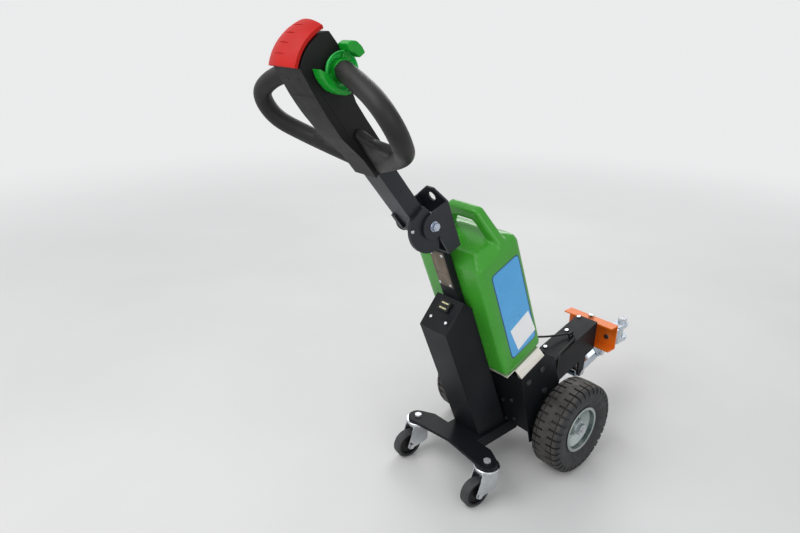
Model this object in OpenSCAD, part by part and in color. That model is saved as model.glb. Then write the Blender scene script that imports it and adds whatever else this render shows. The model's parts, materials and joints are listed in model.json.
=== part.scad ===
// Walk-behind electric tug: two driven wheels, two casters, a leaning battery, a tiller and a tow hitch.
// Built from the drive axle's middle on the floor: +X towards the hitch, +Y to the left, +Z up.

/* [Drive wheels] */
// Outer diameter of a drive tyre
tyre_d = 260; // [240:1:275]
// Width of a drive tyre
tyre_w = 85; // [70:1:92]
// Gap between a side plate and its tyre
tyre_gap = 18; // [14:1:40]
// Diameter of the rim's bead seat
rim_d = 122; // [110:1:136]
// Depth of the tread's cross slots
tread_depth = 7; // [3:0.5:10]
// Width of one cross slot
slot_w = 6; // [4:0.5:10]
// Width of the unbroken rib round the middle of the tread
rib_w = 16; // [8:1:30]
// Number of tread blocks on each side of the rib
lug_count = 36; // [16:1:40]
// Diameter of the axle shafts
axle_d = 25; // [20:1:30]

/* [Casters] */
// Diameter of a caster wheel
caster_d = 80; // [70:1:80]
// Width of a caster's tread
caster_w = 27; // [20:1:32]
// Distance of the wheel's axle behind its swivel axis
caster_trail = 35; // [20:1:38]
// Distance between the two swivel axes
caster_span = 260; // [250:1:300]
// Distance of the swivel axes behind the drive axle
caster_back = 288; // [286:1:340]
// Height of the plate's top face that carries the casters
deck_z = 118; // [116:1:126]
// Angle at which the casters stand
caster_swing = -8; // [-20:1:20]

/* [Chassis] */
// Outside width over the side plates
chassis_w = 244; // [236:1:250]
// Length of a side plate from its rear top corner to its front edge
chassis_l = 209; // [200:1:230]
// Height of a side plate
chassis_h = 268; // [262:1:275]
// Height of the side plates' bottom edge
chassis_z = 80; // [60:1:84]
// Distance of the side plates' rear corner behind the drive axle
chassis_back = 165; // [160:1:175]
// Thickness of the side plates and the deck
plate_t = 4; // [3:0.5:6]
// Thickness of folded sheet
sheet_t = 3; // [2:0.5:4]

/* [Lean] */
// Angle between the mast and the vertical
lean = 23; // [20:0.5:25]
// Depth of the mast from its rear face to its front face
mast_depth = 19; // [14:1:24]
// Width of the mast
mast_w = 52; // [44:1:60]
// Height of the mast's top above the battery case
mast_rise = 26; // [20:1:60]
// Distance from the mast's top to the tiller's pivot, along the lean
pivot_rise = 89; // [84:1:110]

/* [Cover] */
// Width of the leaning cover
cover_w = 90; // [80:1:110]
// Depth of the cover ahead of the operator, down to the mast's far face
cover_depth = 99; // [90:1:120]
// Distance along the lean to the cover's rear top edge
cover_up = 579; // [540:1:600]
// Rise of the cover's sloped top
cover_rise = 41; // [20:1:60]
// Wall of the cover
cover_t = 2; // [1.5:0.5:4]

/* [Battery] */
// Width of the battery case
battery_w = 208; // [190:1:210]
// Depth of the battery case
battery_depth = 146; // [130:1:150]
// Height of the battery case up to its top face
battery_h = 372; // [340:1:390]
// Distance along the lean to the battery's foot
battery_up = 373; // [370:1:380]
// Height of the handle above the case
handle_h = 76; // [60:1:80]
// Thickness of the handle's bar
handle_bar = 32; // [24:1:36]
// Depth of the handle
handle_depth = 27; // [20:1:34]

/* [Tiller] */
// Angle of the tiller above the horizontal
tiller_angle = 51; // [45:1:60]
// Width of the tiller tube
tube_w = 60; // [50:1:64]
// Depth of the tiller tube
tube_depth = 38; // [30:1:42]
// Wall of the tiller tube
tube_t = 3; // [2:0.5:4]
// Distance from the pivot to the head's lower end
head_s = 190; // [180:1:210]
// Distance from the pivot to the throttle's axis
throttle_s = 405; // [395:1:410]
// Width of the head
head_w = 84; // [80:1:90]
// Reach of the grips' centre line to each side
grip_reach = 197; // [170:1:210]
// Diameter of the grips
grip_d = 37; // [30:1:40]
// Travel of the belly button
button_travel = 4; // [2:0.5:4]
// Diameter of the pivot bolt
pivot_d = 16; // [12:1:18]

/* [Hitch] */
// Width of the tow arm
arm_w = 73; // [64:1:76]
// Depth of the tow arm
arm_h = 90; // [80:1:94]
// Slope of the tow arm
arm_slope = 15.6; // [12:0.1:18]
// Distance of the arm's front end ahead of the drive axle
arm_x = 326; // [300:1:340]
// Height of the arm's top edge at its front end
arm_z = 285; // [275:1:295]
// Width of the push channel
channel_w = 174; // [150:1:190]
// Height of the push channel
channel_h = 84; // [76:1:90]
// Depth of the push channel
channel_depth = 40; // [30:1:50]
// Width of the drawbar
drawbar_w = 40; // [34:1:44]
// Diameter of the tow pin
pin_d = 16; // [12:1:20]
// Gap between the jaw's two tongues
jaw_gap = 36; // [28:1:44]

/* [Hidden] */

// Clearances and overruns
over = 1;
run_fit = 0.05;
side_gap = 0.3;
far = 2000;
cut_l = 50;
// The origin stands under the middle of the whole machine's length
origin_ahead = 91.15;

// Drive wheels
tyre_r = tyre_d / 2;
rim_r = rim_d / 2;
axle_r = axle_d / 2;
wheel_y = chassis_w / 2 + tyre_gap + tyre_w / 2;
crown_drop = 3;
bead_w = 64;
flange_lip = 5;
flange_r = rim_r + flange_lip;
// Tyre section: share of the height from bead to tread, share of the half width
wall_shares = [[0, 0.74], [0.12, 0.78], [0.3, 0.93], [0.5, 0.985], [0.62, 0.985], [0.66, 1], [0.74, 1],
    [0.77, 0.985], [0.84, 0.96], [0.92, 0.88], [0.965, 0.76]];
shoulder_drop = 24;
shoulder_in = 9;
block_groove_w = 2.4;
block_groove_deep = 3;
barrel_t = 3;
dish_in = 22;
dish_t = 4;
flange_t = 6;
hub_r = 24;
hub_flange_r = 41;
hub_l = 52;
wheel_bolt_r = 4;
wheel_bolt_head = 7;
wheel_bolt_h = 5;
wheel_bolt_pcd = 63;
wheel_bolt_count = 5;
hub_nut_r = 17;
hub_nut_h = 12;
hub_washer_r = 20;
hub_washer_t = 3;
stub_r = 8;
shaft_in = 20;

// Casters
caster_r = caster_d / 2;
tread_t = 8;
core_r = caster_r - tread_t;
swivel_r = 6;
swivel_head_r = 10;
swivel_head_h = 6;
race_r = 34;
race_h = 12;
race_step = 6;
race_round = 3;
deck_t = 8;
crown_r = 27;
crown_t = 4;
crown_front = 22;
leg_t = 3;
leg_gap = 3;
leg_foot_r = 10;
caster_axle_r = 5;
caster_nut_r = 8;
caster_nut_h = 5;
sleeve_l = caster_w + 2 * leg_gap;
crown_low = deck_z - deck_t - race_h - side_gap - crown_t;
deck_end_r = 27;
deck_front = 244;
deck_rear = 299;
deck_corner_y = 106;
hub_small_r = 9;
core_dish = 6;
tread_round = 4;
neck_w = 108;
neck_x = 70;
keel_depth = 30;
keel_back = 232;

// Chassis outline, as shares of its length and height
side_shares = [[0, 0.85], [0.435, 1.02], [0.651, 0.925], [0.833, 0.586], [0.923, 0.317], [1, 0.261], [1, 0],
    [0.325, 0]];
panel_first = 2;
panel_last = 6;
panel_inset_share = [1.1, 0.3];
panel_angle = atan(chassis_l * side_shares[7][0] / (chassis_h * side_shares[0][1]));
inner_w = chassis_w - 2 * plate_t;
tray_drop = 25;
tray_seat = battery_up - tray_drop;
bolt_r = 5;
bolt_head_r = 9;
bolt_head_h = 6;
small_r = 3;
small_head_r = 6;
small_head_h = 4;
side_bolt_shares = [[0.388, 0.855], [0.498, 0.578], [0.129, 0.787]];
panel_bolt_shares = [[0.62, 0.36], [0.62, 0.62], [0.36, 0.42], [0.36, 0.68]];

function side_x(share) = share[0] * chassis_l - chassis_back;
function side_z(share) = share[1] * chassis_h + chassis_z;
side_points = [for (share = side_shares) [side_x(share), side_z(share)]];

// Power unit
case_r = 24;
case_w = 80;
gear_r = 34;
gear_w = 60;
gear_x = -50;
gear_z = 150;
axle_tube_r = 20;
tube_flange_r = 34;
tube_flange_t = 6;
motor_r = 38;
motor_l = 120;
motor_seat = 48;
seat_half = 26.6;
motor_cap_r = 30;
motor_cap_h = 10;
controller_w = 76;
controller_l = 150;
controller_t = 50;
controller_up = 330;
fin_t = 2;
fin_pitch = 8;

// Mast and its bracket, in the leaning frame
mast_v = -61;
mast_rear_v = mast_v - mast_depth;
cover_v = mast_v - cover_depth;
ear_half = 46;
ear_t = 5;
web_v = -42;
web_t = 5;
mast_top = battery_up + battery_h + mast_rise;
pivot_up = mast_top + pivot_rise;
ear_rise = 31;
ear_top = pivot_up + ear_rise;
pivot_v = -98;
nose_r = 30;
base_t = 5;
eye_r = 11;
eye_rise = 34;
eye_up = pivot_up + eye_rise;
eye_rim_r = 23;
plate_w = 46;
plate_l = 106;
plate_gap = 6;
plate_up = mast_top - plate_gap - plate_l;
type_t = 1;
pivot_x = lean_x(pivot_v, pivot_up);
pivot_z = lean_z(pivot_v, pivot_up);
pivot_r = pivot_d / 2;
pivot_head_r = 13;
pivot_head_h = 9;
washer_r = 16;
washer_t = 2;

// Cover details
cheek_rise = 12.3;
slope_angle = atan(cover_rise / (cover_depth - mast_depth));
gauge_w = 34;
gauge_l = 26;
gauge_h = 8;
light_step = 6.5;
light_half = 2.2;
light_reach = 11.3;
gauge_share = 0.72;
rivet_r = 4;
rivet_h = 2;
rivet_share = 0.32;
rivet_side_share = 0.56;
rivet_in = 6;

cover_top_l = norm([cover_rise, cover_depth - mast_depth]);
ear_nose_in = 7;

// Battery details
corner_r = 15;
foot_inset = 5;
case_shoulder = 26;
front_chamfer = 16;
handle_v = 35;
handle_half = 38;
leg_half = 84;
handle_r = 8;
handle_soft = 4;
tray_rear_v = -31;
tray_front_v = 66;
lift_gap = 0.4;
contact_w = 60;
contact_l = 24;
contact_h = 18;

// Tiller details
tube_top = 10;
clevis_half = 39;
drum_r = 62;
cheek_start_angle = 122;
cheek_end_angle = 255;
cheek_steps = 20;
barrel_r = 28;
barrel_in = 25;
stop_rib_t = 5;
stop_rib_w = 12;
stop_rib_l = 42;
stop_rib_y = 18;
stop_screw_back = 46;
stop_screw_up = 34;
stop_screw_r = 4;
stop_screw_h = 3;
clevis_top = 14;
collar_s = 50;
bush_r = 11;
bush_l = 14;
bush_flange_r = 16;
bush_flange_t = ear_half - ear_t - side_gap - clevis_half;
tube_in = 35;
throttle_n = -17;
throttle_r = 8;
socket_l = 16;
// Head outline: share of the head's depth below the tube's line, share of its length
head_depth = 95;
head_l = 268;
under_shares = [[0.4, 0], [0.4, 0.18], [0.515, 0.43], [0.515, 0.63], [0.485, 0.78]];
top_shares = [[0.475, 1.02], [0.484, 0.92], [0.42, 0.8], [0.25, 0.68], [0.16, 0.54], [0.147, 0]];
plan_shares = [[0.8, 0], [0.85, 0.4], [1, 0.7], [1, 1.4]];
nose_x = 13;
nose_up = 199;
nose_s = head_s + nose_up;
pad_in = 88;
pad_edge = 94;
pad_crown = 104;
pad_start_angle = 73;
pad_sweep_angle = 55;
nose_steps = 12;
nose_body = pad_in - button_travel - 0.5 * over;
split_x = -34;
plug_half = 28;
plug_half_w = 33;
plug_low = 68;
pocket_low = 56;
pocket_gap = 0.4;
spring_r = 8;
spring_wire = 1.2;
spring_turns = 3;
spring_steps = 12;
wire_sides = 6;
crown_steps = 4;
groove_count = 4;
groove_w = 2;
groove_deep = 1.5;
screw_hole_r = 3.5;
screw_l = 8;
screw_y = head_w / 5;
screw_s = head_s + 0.9 * head_l;
pad_tilt = 90 - pad_start_angle - pad_sweep_angle / 2;
hub_out_r = 20;
hub_start = head_w / 2 + side_gap * 2;
hub_end = 62;
wing_out = 74;
bowl_deep = 9;
// Wing outlines round the throttle's axis: share of the hub's radius, angle from the tiller's line
lower_wing_shares = [[2.75, 46], [2.5, 62], [2.3, 78], [2.15, 97], [2.05, 115], [1.95, 133], [1.85, 150],
    [1.62, 153], [1.62, 133], [1.6, 112], [1.6, 92], [1.75, 72], [2.2, 52]];
upper_wing_shares = [[2.2, -36], [2.5, -48], [2.6, -60], [2.5, -75], [2.35, -90], [1.62, -88], [1.6, -65],
    [1.6, -45]];
wing_start = 46;
// Floor that joins each wing to the hub: place, thickness and share of the wing's outline that it reaches
floor_start = 48;
floor_t = 5;
floor_share = 0.88;
floor_last = 4;
// Grip route: share of the reach, share of the length, share of the bow towards the underside
grip_l = 205;
grip_bow = 55;
grip_shares = [[0.32, 1.02, 0.03], [0.76, 0.95, 0.55], [0.985, 0.82, 0.9], [0.99, 0.56, 1],
    [0.75, 0.3, 0.78], [0.1, -0.02, 0.5]];
// Webs that join the grips' lower arms to the head: share of the reach, share of the length
web_shares = [[0.15, 0], [0.15, 0.5], [0.32, 0.37], [0.62, 0.31], [0.6, 0.2]];
web_low = 29;
web_thick = 22;
grip_sides = 16;
grip_steps = 6;

// Hitch details
arm_t = 4;
end_t = 4;
channel_t = 4;
channel_low = 196;
pin_r = pin_d / 2;
clip_back = -104;
clip_y = -10;
clip_h = 16;
clip_w = 3;
clip_t = 2;
gland_r = 7;
gland_l = 9;
gland_gap = 0.6;
socket_w = 14;
socket_t = 9.5;
socket_h = 14;
lug_x = 284;
lug_z = 115;
hanger_x = 398;
hanger_z = 147;
cross_places = [[lug_x, lug_z], [hanger_x, hanger_z]];
drawbar_slope = atan((hanger_z - lug_z) / (hanger_x - lug_x));
lug_t = 5;
cheek_gap = 0.5;
drawbar_t = 4;
drawbar_h = 30;
cross_r = 6;
lug_edge = 15;
cross_head_r = 10;
cross_head_h = 7;
jaw_x = 508;
jaw_l = 52;
jaw_t = 14;
jaw_top = 198;
pin_head_r = 15;
pin_head_h = 16;
pin_drop = 8;
pin_back = 22;
web_bolt_y = 57;
web_bolt_share = 0.42;
// The arm's blank runs back to over the drive axle, and the front panel ends it
arm_l = arm_x / cos(arm_slope);
// Bolts on the arm's top: share of its length back from the front end, share of its half width
arm_bolt_shares = [[0.5614, 0.63], [0.26, 0.466], [0.0295, 0.712]];
cable_r = 3.5;
clip_r = 8;
// Route of the cable from the front panel over the arm, round the clip and down the arm's side
cable_route = [
    [-12, 60, 290], [0, 60, 295], [20, 60, 297], [45, 57, 293], [80, 51, 281], [115, 43, 271],
    [150, 32, 264], [185, 18, 262], [212, 4, 264], [226.5, -10, 266], [224, -22, 265],
    [212, -28, 259], [180, -31, 249], [150, -32, 240], [131, -35, 235], [124, -39, 232],
    [120, -41, 226], [119, -41, 208], [123, -40.5, 180], [128, -40.5, 160]];
cable_sides = 10;
cable_steps = 2;

// A point of the leaning frame in the machine's own frame: v ahead of the lean line, u along it
function lean_x(v, u) = v * cos(lean) - u * sin(lean);
function lean_z(v, u) = v * sin(lean) + u * cos(lean);
function lean_point(v, u) = [lean_x(v, u), lean_z(v, u)];
function unit(a) = a / norm(a);
function arc(x, y, r, from, to, steps) =
    [for (i = [0:steps]) let (angle = from + (to - from) * i / steps)
        [x + r * cos(angle), y + r * sin(angle)]];
function flip(points) = [for (i = [len(points) - 1:-1:0]) points[i]];

// A smooth curve through points, with the ends repeated
function spline_at(a, b, c, d, t) =
    0.5 * (2 * b + (c - a) * t + (2 * a - 5 * b + 4 * c - d) * t * t + (3 * b - a - 3 * c + d) * t * t * t);
function spline(points, steps) = let (last = len(points) - 1)
    concat([for (i = [0:last - 1]) for (j = [0:steps - 1])
        spline_at(points[max(i - 1, 0)], points[i], points[i + 1], points[min(i + 2, last)], j / steps)],
        [points[last]]);
function tangent(path, i) = unit(path[min(i + 1, len(path) - 1)] - path[max(i - 1, 0)]);
// Side vectors that turn with the path and never twist round it
function carried(path, i, before) = let (t = tangent(path, i), side = unit(before - (before * t) * t))
    i == len(path) - 1 ? [side] : concat([side], carried(path, i + 1, side));

module swept_tube(path, r, sides, first_side) {
    side = carried(path, 0, first_side);
    rings = len(path);
    points = [for (i = [0:rings - 1]) let (other = cross(tangent(path, i), side[i])) for (k = [0:sides - 1])
        path[i] + r * (cos(360 * k / sides) * side[i] + sin(360 * k / sides) * other)];
    walls = [for (i = [0:rings - 2]) for (k = [0:sides - 1]) let (a = i * sides + k,
        b = i * sides + (k + 1) % sides) each [[a, a + sides, b], [b, a + sides, b + sides]]];
    caps = [[for (k = [0:sides - 1]) k], [for (k = [sides - 1:-1:0]) (rings - 1) * sides + k]];
    polyhedron(points, concat(walls, caps));
}

module placed() {
    translate([origin_ahead, 0, 0]) children();
}
module leaning() {
    rotate([0, -lean, 0]) children();
}
module at_tiller() {
    translate([pivot_x, 0, pivot_z]) rotate([0, tiller_angle - 90, 0]) children();
}
module at_arm() {
    translate([arm_x, 0, arm_z]) rotate([0, -arm_slope, 0]) children();
}
module both_sides() {
    children();
    mirror([0, 1, 0]) children();
}

// An outline of lengthwise and upright places, made as wide as half_w to each side
module side_prism(points, half_w) {
    rotate([90, 0, 0]) translate([0, 0, -half_w]) linear_extrude(2 * half_w) polygon(points);
}
module ring(outer, inner, h) {
    difference() {
        cylinder(r = outer, h = h, $fn = 64);
        translate([0, 0, -over]) cylinder(r = inner, h = h + 2 * over, $fn = 64);
    }
}
// A cylinder along Y from y0 to y1
module cross_rod(r, y0, y1, sides = 64) {
    translate([0, y0, 0]) rotate([-90, 0, 0]) cylinder(r = r, h = y1 - y0, $fn = sides);
}
// A hexagon head on a shank that goes down from its seat
module hex_bolt(shank, head, head_h, length) {
    cylinder(r = head, h = head_h, $fn = 6);
    translate([0, 0, -length]) cylinder(r = shank, h = length + head_h / 2, $fn = 32);
}
module wide_box(x0, x1, half_w, z0, z1) {
    translate([x0, -half_w, z0]) cube([x1 - x0, 2 * half_w, z1 - z0]);
}

// Drive wheels
module tyre_blank() {
    tall = tyre_r - flange_r;
    wall = [for (p = wall_shares) [flange_r + p[0] * tall, p[1] * tyre_w / 2]];
    half = concat([[rim_r, bead_w / 2]], wall);
    rotate([90, 0, 0]) rotate_extrude($fn = 96)
        polygon(concat(half, [[tyre_r, 0]], [for (p = flip(half)) [p[0], -p[1]]]));
}
// One cross slot, from the rib out over the shoulder
module tread_slot() {
    half = tyre_w / 2;
    rotate([90, 0, 90]) translate([0, 0, -slot_w / 2]) linear_extrude(slot_w)
        polygon([[rib_w / 2, tyre_r - tread_depth], [half - shoulder_in, tyre_r - tread_depth - over],
            [half + over, tyre_r - shoulder_drop], [half + over, tyre_r + over],
            [rib_w / 2, tyre_r + over]]);
}
module tyre(side) {
    color("#2a2a2c") translate([0, side * wheel_y, tyre_r]) difference() {
        tyre_blank();
        for (row = [-1, 1], i = [0:lug_count - 1]) rotate([0, (i + (row + 1) / 4) * 360 / lug_count, 0])
            mirror([0, row > 0 ? 0 : 1, 0]) tread_slot();
        for (row = [-1, 1]) translate([0, row * (tyre_w + rib_w) / 4, 0]) rotate([90, 0, 0])
            translate([0, 0, -block_groove_w / 2]) difference() {
                cylinder(r = tyre_r + over, h = block_groove_w, $fn = 96);
                translate([0, 0, -over]) cylinder(r = tyre_r - crown_drop - block_groove_deep,
                    h = block_groove_w + 2 * over, $fn = 96);
            }
    }
}
module rim(side) {
    color("#c9ccd0") translate([0, side * wheel_y, tyre_r]) mirror([0, side > 0 ? 0 : 1, 0]) difference() {
        rotate([-90, 0, 0]) union() {
            translate([0, 0, -bead_w / 2]) ring(rim_r, rim_r - barrel_t, bead_w);
            for (end = [bead_w / 2, -bead_w / 2 - barrel_t])
                translate([0, 0, end]) ring(flange_r, rim_r - barrel_t, barrel_t);
            rotate_extrude($fn = 96) polygon([[hub_r - barrel_t, 0], [hub_flange_r, 0],
                [rim_r - barrel_t / 2, dish_in - dish_t], [rim_r - barrel_t / 2, dish_in],
                [hub_flange_r - dish_t / 2, flange_t], [hub_r - barrel_t, flange_t]]);
            translate([0, 0, -hub_l / 2]) cylinder(r = hub_r, h = hub_l - dish_t, $fn = 64);
        }
        cross_rod(axle_r, -wheel_y, wheel_y);
        for (i = [0:wheel_bolt_count - 1]) rotate([0, (i + 0.5) * 360 / wheel_bolt_count, 0])
            translate([wheel_bolt_pcd / 2, 0, 0]) cross_rod(wheel_bolt_r, -tyre_w, tyre_w, 32);
    }
}
module wheel_fasteners(side) {
    seat = hub_l / 2 - dish_t;
    color("#9fa3a8") translate([0, side * wheel_y, tyre_r]) mirror([0, side > 0 ? 0 : 1, 0])
        rotate([-90, 0, 0]) {
            for (i = [0:wheel_bolt_count - 1]) rotate([0, 0, (i + 0.5) * 360 / wheel_bolt_count])
                translate([wheel_bolt_pcd / 2, 0, flange_t])
                    hex_bolt(wheel_bolt_r, wheel_bolt_head, wheel_bolt_h, flange_t);
            translate([0, 0, seat]) ring(hub_washer_r, stub_r, hub_washer_t);
            translate([0, 0, seat + hub_washer_t]) difference() {
                cylinder(r = hub_nut_r, h = hub_nut_h, $fn = 6);
                translate([0, 0, -over]) cylinder(r = stub_r, h = hub_nut_h + 2 * over, $fn = 32);
            }
        }
}
module axle_shaft(side) {
    hub_end_y = wheel_y + hub_l / 2 - dish_t;
    color("#b5b8bc") translate([0, 0, tyre_r]) mirror([0, side > 0 ? 0 : 1, 0]) {
        cross_rod(axle_r, shaft_in, hub_end_y);
        cross_rod(stub_r, hub_end_y - over, hub_end_y + hub_washer_t + hub_nut_h + barrel_t, 32);
    }
}

// Casters
module at_caster(side) {
    translate([-caster_back, side * caster_span / 2, 0]) rotate([0, 0, caster_swing]) children();
}
module swivel_bolts() {
    color("#b9bcc0") for (side = [-1, 1]) at_caster(side) {
        translate([0, 0, deck_z]) cylinder(r = swivel_head_r, h = swivel_head_h, $fn = 6);
        translate([0, 0, crown_low - swivel_head_h]) cylinder(r = swivel_r,
            h = deck_z + over - crown_low + swivel_head_h, $fn = 32);
        translate([0, 0, crown_low - side_gap - swivel_head_h])
            cylinder(r = swivel_head_r, h = swivel_head_h, $fn = 6);
    }
}
module swivel_races() {
    color("#8f9398") for (side = [-1, 1]) at_caster(side) translate([0, 0, deck_z - deck_t - race_h]) {
        ring(race_r - race_step, swivel_r, race_h / 2);
        translate([0, 0, race_h / 2]) rotate_extrude($fn = 96)
            polygon([[swivel_r, 0], [race_r - race_round, 0], [race_r, race_round / 2],
                [race_r, (race_h - race_round) / 2], [race_r - race_round / 2, race_h / 2],
                [swivel_r, race_h / 2]]);
    }
}
module caster_fork(side) {
    color("#b9bcc0") at_caster(side) difference() {
        union() {
            translate([0, 0, crown_low]) intersection() {
                cylinder(r = crown_r + leg_t, h = crown_t, $fn = 64);
                wide_box(-crown_r, crown_front, sleeve_l / 2 + leg_t, 0, crown_t);
            }
            for (row = [-1, 1]) translate([0, row * (sleeve_l / 2 + leg_t / 2), 0])
                side_hull(leg_t / 2) {
                    translate([-caster_trail, caster_r]) circle(r = leg_foot_r, $fn = 32);
                    translate([-crown_r, crown_low]) square([crown_r + crown_front, crown_t]);
                    translate([crown_front - leg_foot_r, caster_r + leg_foot_r])
                        circle(r = leg_foot_r, $fn = 32);
                }
        }
        translate([0, 0, crown_low - over])
            cylinder(r = swivel_r + run_fit, h = crown_t + 2 * over, $fn = 64);
        translate([-caster_trail, 0, caster_r]) cross_rod(caster_axle_r, -caster_span / 2, caster_span / 2);
    }
}
module side_hull(half_w) {
    rotate([90, 0, 0]) translate([0, 0, -half_w]) linear_extrude(2 * half_w) hull() children();
}
module caster_axle(side) {
    outer = sleeve_l / 2 + leg_t;
    color("#c4c7cb") at_caster(side) translate([-caster_trail, 0, caster_r]) {
        cross_rod(caster_axle_r, -outer - over, outer + over);
        cross_rod(caster_nut_r, -outer - caster_nut_h, -outer, 6);
        cross_rod(caster_nut_r, outer, outer + caster_nut_h, 6);
    }
}
module caster_core(side) {
    color("#2b2c2e") at_caster(side) translate([-caster_trail, 0, caster_r]) difference() {
        union() {
            cross_rod(core_r, -caster_w / 2 + over, caster_w / 2 - over);
            cross_rod(hub_small_r, -sleeve_l / 2 + side_gap, sleeve_l / 2 - side_gap);
        }
        cross_rod(caster_axle_r + run_fit, -caster_w, caster_w);
        for (row = [-1, 1]) rotate([row * 90, 0, 0]) translate([0, 0, caster_w / 2 - core_dish])
            ring(core_r - 4 * over, hub_small_r + over, core_dish + over);
    }
}
module caster_tread(side) {
    half = caster_w / 2;
    color("#8b8d8f") at_caster(side) translate([-caster_trail, 0, caster_r]) rotate([90, 0, 0])
        rotate_extrude($fn = 96) polygon([[core_r, -half + over], [caster_r - tread_round, -half],
            [caster_r, -half + tread_round], [caster_r, half - tread_round], [caster_r - tread_round, half],
            [core_r, half - over]]);
}

// Chassis
module side_plate(side) {
    color("#1c1d1f") difference() {
        translate([0, side * (chassis_w / 2 - plate_t / 2), 0]) side_prism(side_points, plate_t / 2);
        leaning() translate([-far / 2, -far / 2, tray_seat]) cube(far);
        translate([0, 0, tyre_r]) cross_rod(axle_r + over, -chassis_w, chassis_w);
        for (share = side_bolt_shares) translate([side_x(share), 0, side_z(share)])
            cross_rod(bolt_r, -chassis_w, chassis_w, 32);
    }
}
module rear_panel() {
    run = chassis_h / cos(panel_angle);
    color("#1c1d1f") difference() {
        at_panel() wide_box(0, sheet_t, inner_w / 2, -run, 0);
        translate([-far / 2, -far / 2, deck_z - far]) cube(far);
        leaning() translate([-far / 2, -far / 2, tray_seat]) cube(far);
        for (place = panel_bolt_shares, row = [-1, 1]) at_panel()
            translate([0, row * place[0] * chassis_w / 2, -place[1] * run])
                rotate([0, 90, 0]) translate([0, 0, -over]) cylinder(r = small_r, h = cut_l, $fn = 32);
    }
}
module at_panel() {
    translate([side_x(side_shares[0]), 0, side_z(side_shares[0])]) rotate([0, -panel_angle, 0]) children();
}
// The folded front sheet runs inside the side plates' front edges
module front_panel() {
    outer = [for (i = [panel_first:panel_last]) [side_x(side_shares[i]), side_z(side_shares[i])]];
    inner = [for (p = flip(outer)) p - sheet_t * panel_inset_share];
    color("#1c1d1f") side_prism(concat(outer, inner), inner_w / 2);
}
module deck_plate() {
    color("#1c1d1f") difference() {
        translate([0, 0, deck_z - deck_t]) union() {
            both_sides() linear_extrude(deck_t) hull() {
                translate([-caster_back, caster_span / 2]) circle(r = deck_end_r, $fn = 64);
                translate([-deck_rear, -over]) square([deck_rear - deck_front, deck_corner_y]);
            }
            wide_box(-deck_rear, -neck_x, neck_w / 2, 0, deck_t);
        }
        for (row = [-1, 1]) translate([-caster_back, row * caster_span / 2, 0])
            cylinder(r = swivel_r, h = far, $fn = 32);
    }
}
module keel() {
    low = deck_z - deck_t - keel_depth;
    color("#1c1d1f") difference() {
        wide_box(-keel_back, -neck_x, neck_w / 2, low, deck_z - deck_t);
        wide_box(-keel_back - over, -neck_x + over, neck_w / 2 - sheet_t, low + sheet_t, deck_z);
    }
}
module chassis_bolts() {
    run = chassis_h / cos(panel_angle);
    color("#b9bcc0") {
        for (side = [-1, 1], share = side_bolt_shares)
            translate([side_x(share), side * chassis_w / 2, side_z(share)]) rotate([-side * 90, 0, 0])
                hex_bolt(bolt_r, bolt_head_r, bolt_head_h, plate_t);
        for (place = panel_bolt_shares, row = [-1, 1]) at_panel()
            translate([0, row * place[0] * chassis_w / 2, -place[1] * run]) rotate([0, -90, 0])
                hex_bolt(small_r, small_head_r, small_head_h, sheet_t);
    }
}

// Power unit
module transaxle() {
    color("#8f9499") difference() {
        union() {
            translate([0, 0, tyre_r]) {
                cross_rod(case_r, -case_w / 2, case_w / 2);
                cross_rod(axle_tube_r, -inner_w / 2 + over, inner_w / 2 - over);
                for (y = [-inner_w / 2, inner_w / 2 - tube_flange_t])
                    cross_rod(tube_flange_r, y, y + tube_flange_t);
            }
            translate([gear_x, 0, gear_z]) cross_rod(gear_r, -gear_w / 2, gear_w / 2);
            translate([gear_x, 0, gear_z]) rotate([0, -lean, 0])
                wide_box(-seat_half, seat_half, gear_w / 2 - over, 0, motor_seat);
            wide_box(gear_x, 0, gear_w / 2 - 2 * over, tyre_r - case_r, tyre_r + case_r);
        }
        translate([0, 0, tyre_r]) cross_rod(axle_r + run_fit, -chassis_w, chassis_w);
    }
}
module drive_motor() {
    color("#3b3d40") translate([gear_x, 0, gear_z]) rotate([0, -lean, 0]) translate([0, 0, motor_seat]) {
        cylinder(r = motor_r, h = motor_l, $fn = 64);
        translate([0, 0, motor_l]) cylinder(r = motor_cap_r, h = motor_cap_h, $fn = 64);
    }
}
module controller() {
    color("#2f3336") leaning() translate([mast_rear_v - controller_t, 0, controller_up]) difference() {
        wide_box(0, controller_t, controller_w / 2, 0, controller_l);
        for (y = [-controller_w / 2 + fin_pitch:fin_pitch:controller_w / 2 - fin_pitch])
            translate([-over, y, -over])
                cube([controller_t / 3, fin_pitch - fin_t, controller_l + 2 * over]);
    }
}

// Cover
function cover_points(inset) = let (foot = (deck_z - (cover_v + inset) * sin(lean)) / cos(lean),
    rear_foot = (deck_z - (mast_v - over) * sin(lean)) / cos(lean))
    [lean_point(cover_v + inset, foot), lean_point(cover_v + inset, cover_up - inset),
    lean_point(mast_rear_v, cover_up + cover_rise - inset),
    lean_point(mast_v - over, cover_up + cheek_rise),
    lean_point(mast_v - over, rear_foot)];
module cover() {
    inner = cover_points(cover_t);
    color("#1c1d1f") difference() {
        side_prism(cover_points(0), cover_w / 2);
        side_prism([inner[0] - [0, over], inner[1], inner[2],
            lean_point(mast_v + over, cover_up + cheek_rise - cover_t), lean_point(mast_v + over, 0)],
            cover_w / 2 - cover_t);
        leaning() wide_box(mast_rear_v, mast_v + over, mast_w / 2, 0, cover_up + 2 * cover_rise);
        at_cover_top() for (y = [-1, 1])
            translate([rivet_share * cover_top_l, y * rivet_side_share * cover_w / 2, -cover_t - over])
                cylinder(r = rivet_r / 2, h = cover_t + 2 * over, $fn = 32);
    }
}
module at_cover_top() {
    leaning() translate([cover_v, 0, cover_up]) rotate([0, -slope_angle, 0]) children();
}
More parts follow.
